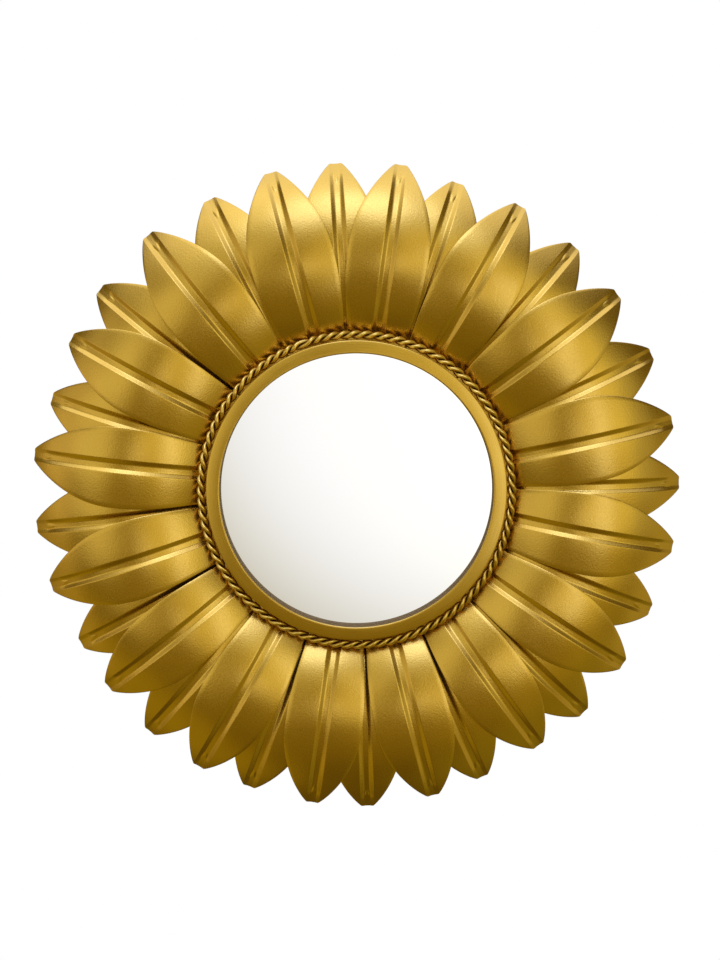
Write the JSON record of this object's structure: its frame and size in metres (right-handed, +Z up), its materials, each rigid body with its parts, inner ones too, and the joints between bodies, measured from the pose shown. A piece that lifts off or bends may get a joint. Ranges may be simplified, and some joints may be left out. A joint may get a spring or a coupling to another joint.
{
  "type": "round sunflower wall mirror",
  "caption": "Round wall mirror framed as a sunflower: layered, bowed sheet-metal petals with a sunken channel around a flat ring frame and a twisted rope trim.",
  "frame": {"origin": "middle of the bracket's flat back, where it lies on the wall, behind the middle of the glass", "axes": "+Y points from the mirror into the wall, the glass faces -Y, +Z is up as the mirror hangs"},
  "size_m": [0.6047, 0.0502, 0.606],
  "materials": {
    "petal_gold": "metallic gold paint over a fine stipple, satin",
    "ring_gold": "metallic gold paint, finely brushed around, satin",
    "rope_gold": "metallic gold paint, smooth, darker in the grooves",
    "mirror_glass": "silvered glass, polished",
    "back_paint": "thin dull gold overspray on sheet metal",
    "bracket_steel": "plain zinc-coated steel, lightly brushed"
  },
  "bodies": {
    "root": {"mirror_glass": "mirror_glass", "ring_frame": "ring_gold", "rope_trim": "rope_gold", "back_plate": "back_paint", "wall_bracket": "bracket_steel", "front_petal_01": "petal_gold", "front_petal_02": "petal_gold", "front_petal_03": "petal_gold", "front_petal_04": "petal_gold", "front_petal_05": "petal_gold", "front_petal_06": "petal_gold", "front_petal_07": "petal_gold", "front_petal_08": "petal_gold", "front_petal_09": "petal_gold", "front_petal_10": "petal_gold", "front_petal_11": "petal_gold", "front_petal_12": "petal_gold", "front_petal_13": "petal_gold", "front_petal_14": "petal_gold", "front_petal_15": "petal_gold", "front_petal_16": "petal_gold", "back_petal_01": "petal_gold", "back_petal_02": "petal_gold", "back_petal_03": "petal_gold", "back_petal_04": "petal_gold", "back_petal_05": "petal_gold", "back_petal_06": "petal_gold", "back_petal_07": "petal_gold", "back_petal_08": "petal_gold", "back_petal_09": "petal_gold", "back_petal_10": "petal_gold", "back_petal_11": "petal_gold", "back_petal_12": "petal_gold", "back_petal_13": "petal_gold", "back_petal_14": "petal_gold", "back_petal_15": "petal_gold", "back_petal_16": "petal_gold"}
  },
  "joints": []
}
